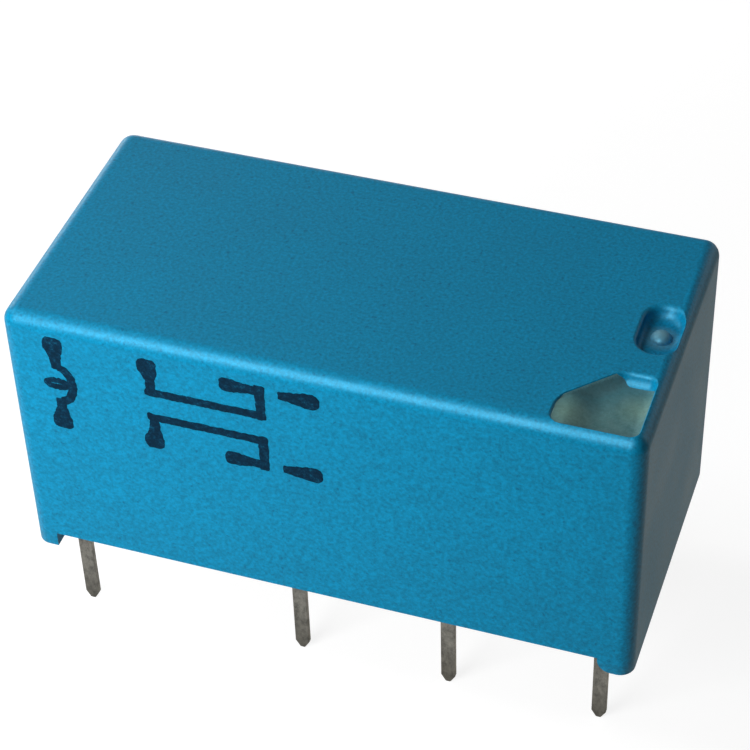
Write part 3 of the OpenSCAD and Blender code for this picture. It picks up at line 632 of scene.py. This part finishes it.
def contactOutlines(terminal, line, contact):
    # a pad and stem, the line to the arm, the near contact on the arm, and the far contact by itself
    wide, left, arm = printed["line"], contactMark["left"], contactMark["armX"]
    near, far, flare = nearContact, farContact, nearContact["flare"]
    outward = 1 if contact > line else -1
    yield block(left, terminal, *contactMark["blob"])
    yield block(left + contactMark["stemOff"], (terminal + line - outward * wide / 2) / 2, contactMark["stem"],
                abs(terminal - line) + wide / 2)
    yield taper((left + contactMark["flareFrom"][0], terminal - outward * contactMark["flareFrom"][1]),
                (left + contactMark["flareTo"][0], terminal - outward * contactMark["flareTo"][1]),
                contactMark["blob"][0] - printed["flareNarrower"], contactMark["stem"])
    yield block((left + arm) / 2, line, arm - left + wide, wide)
    yield block(arm, (line + contact) / 2 + outward * contactMark["armOff"], contactMark["armWide"],
                abs(contact - line) + wide + contactMark["armLap"])
    yield block((near["from"] + near["to"]) / 2, contact, near["to"] - near["from"], near["height"],
                near["corner"])
    yield taper((near["to"] - flare[0], contact), (near["to"] + flare[1], contact),
                near["height"] - near["narrower"], wide + near["neck"])
    yield block((near["from"] + arm) / 2, contact, arm - near["from"] - near["short"],
                wide + near["lineExtra"])
    yield taper((far["from"], contact), (far["to"] - far["flareShort"], contact), far["point"],
                far["height"] - far["narrower"])
    yield block(far["to"] - far["pad"] / 2, contact, far["pad"], far["height"], far["corner"])


def printOn(outlines, name, place):
    # overlapping films of ink; their edge wanders a little, as a print on a grained wall does
    bm = bmesh.new()
    for n, (corner, outline) in enumerate(outlines):
        film = bmesh.new()
        film.faces.new([film.verts.new((x, z, -printed["sunk"])) for x, z in outline])
        roundOff(film, [v for v in film.verts if v.calc_edge_angle(0) > printed["sharp"]], corner,
                 printed["cornerSegments"], "VERTICES")
        longEdges = film.edges[:]
        while longEdges:
            bmesh.ops.subdivide_edges(film, edges=longEdges, cuts=1)
            longEdges = [e for e in film.edges if e.calc_length() > printed["step"]]
        raised = bmesh.ops.extrude_face_region(film, geom=film.faces[:])
        bmesh.ops.translate(film, vec=(0, 0, printed["sunk"] + printed["thick"] + n * printed["lap"]),
                            verts=[v for v in raised["geom"] if isinstance(v, bmesh.types.BMVert)])
        bmesh.ops.recalc_face_normals(film, faces=film.faces)
        join(bm, film)
    noise.seed_set(printed["seed"])  # an unseeded noise vector starts from the clock
    for v in bm.verts:
        drift = noise.noise_vector(Vector((v.co.x, v.co.y, 0)) * printed["grain"]) * printed["wander"]
        v.co += Vector((drift.x, drift.y, 0))
    bmesh.ops.transform(bm, matrix=place, verts=bm.verts)
    piece = finishMesh(bm, name, ink)
    piece.data.polygons.foreach_set("use_smooth", [False] * len(piece.data.polygons))
    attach(piece, "housing")


frontPlace = Matrix.Translation((0, -relay["width"] / 2, 0)) @ Matrix.Rotation(math.pi / 2, 4, "X")
printOn(coilOutlines(), "coilSymbol", frontPlace)
for rowName, row in contactRows.items():
    printOn(contactOutlines(**row), "contactSymbol" + rowName, frontPlace)
print("symbols printed")


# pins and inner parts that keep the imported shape, with softened edges

clean = {"merge": 0.0005, "flatAngle": 0.5}  # in mm and degrees
pinEdge = {"widthMm": 0.055, "segments": 3}


def softened(nodeName, name, body, slot, material, widthMm, segments=2):
    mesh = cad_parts[nodeName].data.copy()
    bm = bmesh.new()
    bm.from_mesh(mesh)
    bmesh.ops.remove_doubles(bm, verts=bm.verts, dist=clean["merge"] * mm)
    bmesh.ops.dissolve_limit(bm, angle_limit=math.radians(clean["flatAngle"]), verts=bm.verts, edges=bm.edges)
    bmesh.ops.scale(bm, vec=(1 / mm,) * 3, verts=bm.verts)
    piece = finishMesh(bm, name, material)
    bpy.data.meshes.remove(mesh)
    softEdges(piece, widthMm, segments)
    seat(piece, body, slot, nodeName)


for kind in relay["pinX"]:
    for side in ("front", "rear"):
        softened(f"{kind}_terminal_{side}", f"{kind}Terminal{side.title()}", "housing", "pin_tin", tinnedPin,
                 **pinEdge)

# node, piece, body, slot, material and softened edge of what the cover hides
hiddenParts = [
    ("base_block", "baseBlock", "housing", "base_plastic", basePlastic, 0.04),
    ("bobbin", "coilBobbin", "housing", "bobbin_plastic", bobbinPlastic, 0.05),
    ("yoke", "ironYoke", "housing", "magnet_iron", nickelIron, 0.05),
    ("core", "ironCore", "housing", "magnet_iron", nickelIron, 0.04),
    ("coil_tape", "coilTape", "housing", "coil_tape", tape, 0.01),
    ("hinge_spring", "hingeSpring", "housing", "staple_steel", stapleSteel, 0.01),
    ("armature", "ironArmature", "armature", "magnet_iron", nickelIron, 0.05),
    ("residual_shim", "residualShim", "armature", "spring_bronze", springBronze, 0.008),
    ("actuator_card", "actuatorCard", "armature", "card_plastic", cardPlastic, 0.03),
]
for side in ("front", "rear"):
    end = side.title()
    hiddenParts += [
        ("coil_lead_" + side, "coilLead" + end, "housing", "coil_copper", copper, 0.008),
        ("break_contact_" + side, "breakContact" + end, "housing", "contact_silver", contactSilver, 0.015),
        ("make_contact_" + side, "makeContact" + end, "housing", "contact_silver", contactSilver, 0.015),
        ("moving_spring_" + side, "movingSpring" + end, "spring_" + side, "spring_bronze", springBronze, 0.015),
        ("moving_contacts_" + side, "movingContacts" + end, "spring_" + side, "contact_silver", contactSilver,
         0.02),
    ]
for part in hiddenParts:
    softened(*part)


# winding and resin

# ridge is one turn's outline: how far along its pitch, and how deep below the outer radius
winding = {"from": -7.72, "to": 2.3, "axis": 5.85, "inner": 1.4455, "outer": 2.475, "turns": 84, "steps": 48,
           "ridge": ((0, 0.35), (0.25, 0.05), (0.5, 0), (0.75, 0.05))}


def makeWinding():
    # the outer layer's turns show as ridges; a closed profile is spun round the core's axis
    bm = bmesh.new()
    pitch = (winding["to"] - winding["from"]) / winding["turns"]
    profile = [(winding["from"], winding["inner"])]
    for n in range(winding["turns"]):
        for share, dip in winding["ridge"]:
            profile.append((winding["from"] + (n + share) * pitch, winding["outer"] - dip * pitch))
    profile += [(winding["to"], winding["outer"] - winding["ridge"][0][1] * pitch),
                (winding["to"], winding["inner"])]
    corners = [bm.verts.new((x, 0, winding["axis"] + r)) for x, r in profile]
    ring = [bm.edges.new(pair) for pair in zip(corners, corners[1:] + corners[:1])]
    bmesh.ops.spin(bm, geom=corners + ring, cent=(0, 0, winding["axis"]), axis=(1, 0, 0), angle=2 * math.pi,
                   steps=winding["steps"], use_merge=True)
    bmesh.ops.remove_doubles(bm, verts=bm.verts, dist=tolerance["same"])
    bmesh.ops.recalc_face_normals(bm, faces=bm.faces)
    seat(finishMesh(bm, "coilWinding", copper), "housing", "coil_copper", "coil_winding")


pour = {"under": 0.75, "thick": 0.4, "cell": 0.11, "lap": 0.02, "wallCreep": 0.14, "wallReach": 0.22,
        "pinCreep": 0.16, "pinReach": 0.14, "sag": 0.04, "sagGrain": 0.9}


def makeResin():
    # poured from below: its skin creeps along the walls and pins and sags a little between them
    bm = bmesh.new()
    length = relay["length"] - 2 * cover["endWall"] + pour["lap"]
    width = relay["width"] - 2 * cover["sideWall"] + pour["lap"]
    pinWide, pinThick = relay["pinSize"]
    bmesh.ops.create_grid(bm, x_segments=round(length / pour["cell"]), y_segments=round(width / pour["cell"]),
                          size=0.5)
    bmesh.ops.scale(bm, vec=(length, width, 1), verts=bm.verts)
    for v in bm.verts:
        wall = min(length / 2 - abs(v.co.x), width / 2 - abs(v.co.y))
        pin = min(math.hypot(max(abs(v.co.x - x) - pinWide / 2, 0),
                             max(abs(abs(v.co.y) - relay["rowY"]) - pinThick / 2, 0))
                  for x in relay["pinX"].values())
        ripple = noise.noise(Vector((v.co.x, v.co.y, 0)) * pour["sagGrain"]) * 0.5 + 0.5
        v.co.z = (pour["under"] - pour["wallCreep"] * math.exp(-wall / pour["wallReach"])
                  - pour["pinCreep"] * math.exp(-pin / pour["pinReach"]) + pour["sag"] * ripple)
    extrudeTo(bm, pour["under"] + pour["thick"])
    seat(finishMesh(bm, "sealingResin", resin), "housing", "resin", "sealing_resin")


makeWinding()
makeResin()
print("inner parts, winding and resin finished")


# table, light and camera

# lit is the table as a light bounces off it; the rest is how the camera and gloss see it
tableLook = {"halfSide": 1.5, "lit": 0.32, "shadowed": 0.3, "glow": 0.86, "inGloss": 0.49,
             "glossColour": "#FFF8E4"}
roomLook = {"colour": "#F2EEE8", "lit": 0.06, "inGloss": 0.4, "seen": 1.1}

table = bpy.data.meshes.new("table")
ground = bmesh.new()
bmesh.ops.create_grid(ground, x_segments=1, y_segments=1, size=tableLook["halfSide"])
bmesh.ops.translate(ground, vec=(0, 0, -relay["pinDrop"] * mm), verts=ground.verts)
ground.to_mesh(table)
ground.free()
tableTop = bpy.data.objects.new("tableTop", table)
scene.collection.objects.link(tableTop)


def paleTable():
    # painted board: lit as a mid grey, and seen by the camera and in gloss as a white that keeps its shadow
    made = bpy.data.materials.new("paleTable")
    made.use_nodes = True
    tree = made.node_tree
    tree.nodes.clear()
    path = addNode(tree, "LightPath").outputs
    gloss = addNode(tree, "Math", {"operation": "MULTIPLY", 1: tableLook["inGloss"]}, {0: path["Is Glossy Ray"]})
    seen = addNode(tree, "Math", {"operation": "MAXIMUM"}, {0: path["Is Camera Ray"], 1: gloss.outputs[0]})
    seen = addNode(tree, "Math", {"operation": "MAXIMUM"}, {0: seen.outputs[0], 1: path["Is Transmission Ray"]})
    lit = addNode(tree, "BsdfDiffuse", {"Color": grey(tableLook["lit"])})
    shadowed = addNode(tree, "BsdfDiffuse", {"Color": grey(tableLook["shadowed"])})
    colour = addNode(tree, "Mix", {"data_type": "RGBA", 6: grey(1), 7: linear(tableLook["glossColour"])}, {
        0: path["Is Glossy Ray"]})
    glow = addNode(tree, "Emission", {"Strength": tableLook["glow"]}, {"Color": colour.outputs[2]})
    shown = addNode(tree, "AddShader", links={0: shadowed.outputs[0], 1: glow.outputs[0]})
    both = addNode(tree, "MixShader", links={0: seen.outputs[0], 1: lit.outputs[0], 2: shown.outputs[0]})
    addNode(tree, "OutputMaterial", links={"Surface": both.outputs[0]})
    return made


table.materials.append(paleTable())
world = bpy.data.worlds.new("room")
scene.world = world
world.use_nodes = True
room = world.node_tree
room.nodes["Background"].inputs["Color"].default_value = linear(roomLook["colour"])
path = addNode(room, "LightPath").outputs
level = addNode(room, "Math", {"operation": "MULTIPLY_ADD", 1: roomLook["inGloss"], 2: roomLook["lit"]}, {
    0: path["Is Glossy Ray"]})
for ray in ("Is Camera Ray", "Is Transmission Ray"):
    level = addNode(room, "Math", {"operation": "MULTIPLY_ADD", 1: roomLook["seen"]}, {
        0: path[ray], 2: level.outputs[0]})
room.links.new(level.outputs[0], room.nodes["Background"].inputs["Strength"])

# places and sizes in mm, power in watts; lit lamps stay out of the gloss, gloss lamps show only there
lamps = {
    "window": {"at": (-18, -36, 18), "aim": (-3, -5, 6), "size": (26, 26), "power": 0.0158, "kind": "lit"},
    "highLeft": {"at": (-187, 6, 206), "aim": (0, 0, 8), "size": (137, 137), "power": 0.35, "kind": "both"},
    "edgeGlow": {"at": (-26, -92, 88), "aim": (0, 0, 8), "size": (56, 100), "power": 0.43, "kind": "gloss"},
    "backRight": {"at": (95, 100, 34), "aim": (0, 0, 8), "size": (120, 60), "power": 0.032, "kind": "gloss"},
    "backFill": {"at": (-70, 80, 20), "aim": (0, 0, 5), "size": (90, 50), "power": 0.04, "kind": "both"},
}
for name, lamp in lamps.items():
    light = bpy.data.lights.new(name, "AREA")
    light.shape = "RECTANGLE"
    light.size, light.size_y = lamp["size"][0] * mm, lamp["size"][1] * mm
    light.energy = lamp["power"]
    lampObject = bpy.data.objects.new(name, light)
    at, aim = Vector(lamp["at"]) * mm, Vector(lamp["aim"]) * mm
    turned = (aim - at).to_track_quat("-Z", "Y").to_matrix().to_4x4()
    lampObject.matrix_world = Matrix.Translation(at) @ turned
    lampObject.visible_diffuse = lamp["kind"] != "gloss"
    lampObject.visible_glossy = lamp["kind"] != "lit"
    scene.collection.objects.link(lampObject)

# the photograph's viewing angle; the three directions are the picture's right, its down, and into it
view = {"sensor": 36, "lens": 115.394, "clip": (1, 10000), "at": (19.6067, -53.3887, 56.9818),
        "right": (0.947531, 0.318560, -0.026539), "down": (0.194767, -0.641159, -0.742281),
        "into": (-0.253477, 0.698166, -0.669563)}
lens = bpy.data.cameras.new("camera")
lens.sensor_width = view["sensor"]
lens.lens = view["lens"]
lens.clip_start, lens.clip_end = (distance * mm for distance in view["clip"])
cameraObject = bpy.data.objects.new("camera", lens)
turned = Matrix((Vector(view["right"]), -Vector(view["down"]), -Vector(view["into"]))).transposed().to_4x4()
cameraObject.matrix_world = Matrix.Translation(Vector(view["at"]) * mm) @ turned
scene.collection.objects.link(cameraObject)
scene.camera = cameraObject
scene.view_settings.view_transform = "Standard"
print("table, light and camera set")
